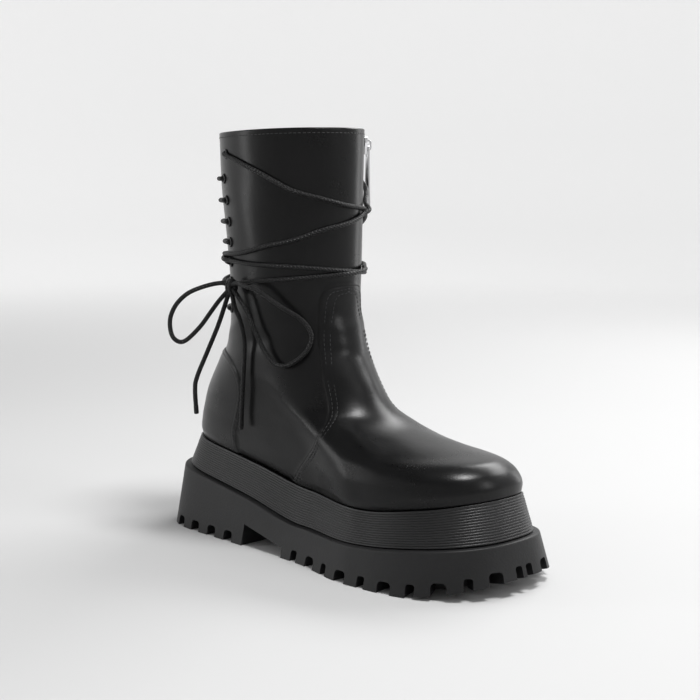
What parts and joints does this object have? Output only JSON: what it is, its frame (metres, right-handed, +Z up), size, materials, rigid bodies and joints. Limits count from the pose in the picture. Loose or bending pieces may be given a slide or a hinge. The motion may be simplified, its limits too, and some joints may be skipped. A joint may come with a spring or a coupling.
{
  "type": "platform boot",
  "caption": "Tall smooth leather boot on a thick lugged platform sole, laced across its back, with an inner side zip.",
  "frame": {"origin": "middle of the sole's length and width, on the floor that the boot stands on", "axes": "+X to the toe, +Y to the wearer's inner side (left of a right foot), +Z up"},
  "size_m": [0.2899, 0.1246, 0.272],
  "materials": {
    "upper_leather": "smooth, semi-gloss black",
    "midsole_rubber": "matte charcoal, finely ribbed",
    "outsole_rubber": "matte charcoal",
    "insole_lining": "matte black lining",
    "lace_cord": "waxed round braid, black",
    "eyelet_metal": "black lacquer",
    "zip_metal": "polished silver"
  },
  "bodies": {
    "boot": {"eyelet_inner_1": "eyelet_metal", "eyelet_inner_2": "eyelet_metal", "eyelet_inner_3": "eyelet_metal", "eyelet_inner_4": "eyelet_metal", "eyelet_inner_5": "eyelet_metal", "eyelet_inner_6": "eyelet_metal", "eyelet_inner_7": "eyelet_metal", "eyelet_inner_8": "eyelet_metal", "eyelet_outer_1": "eyelet_metal", "eyelet_outer_2": "eyelet_metal", "eyelet_outer_3": "eyelet_metal", "eyelet_outer_4": "eyelet_metal", "eyelet_outer_5": "eyelet_metal", "eyelet_outer_6": "eyelet_metal", "eyelet_outer_7": "eyelet_metal", "eyelet_outer_8": "eyelet_metal", "insole": "insole_lining", "lace_bar_2": "lace_cord", "lace_bar_3": "lace_cord", "lace_bar_4": "lace_cord", "lace_bar_5": "lace_cord", "lace_bar_6": "lace_cord", "lace_bar_7": "lace_cord", "lace_bar_8": "lace_cord", "lace_end_back": "lace_cord", "lace_end_front": "lace_cord", "lace_knot": "lace_cord", "lace_loop_back": "lace_cord", "lace_loop_front": "lace_cord", "lace_wraps": "lace_cord", "midsole": "midsole_rubber", "outsole": "outsole_rubber", "upper": "upper_leather", "zip_chain": "zip_metal", "zip_slider": "zip_metal"},
    "pull": {"zip_pull": "zip_metal"}
  },
  "joints": [
    {"name": "pull_swing", "type": "hinge", "parent": "boot", "child": "pull", "pos_m": [-0.01893, 0.04038, 0.26166], "axis": [0.8883, -0.4592, 0], "range_deg": [0, 160]}
  ]
}
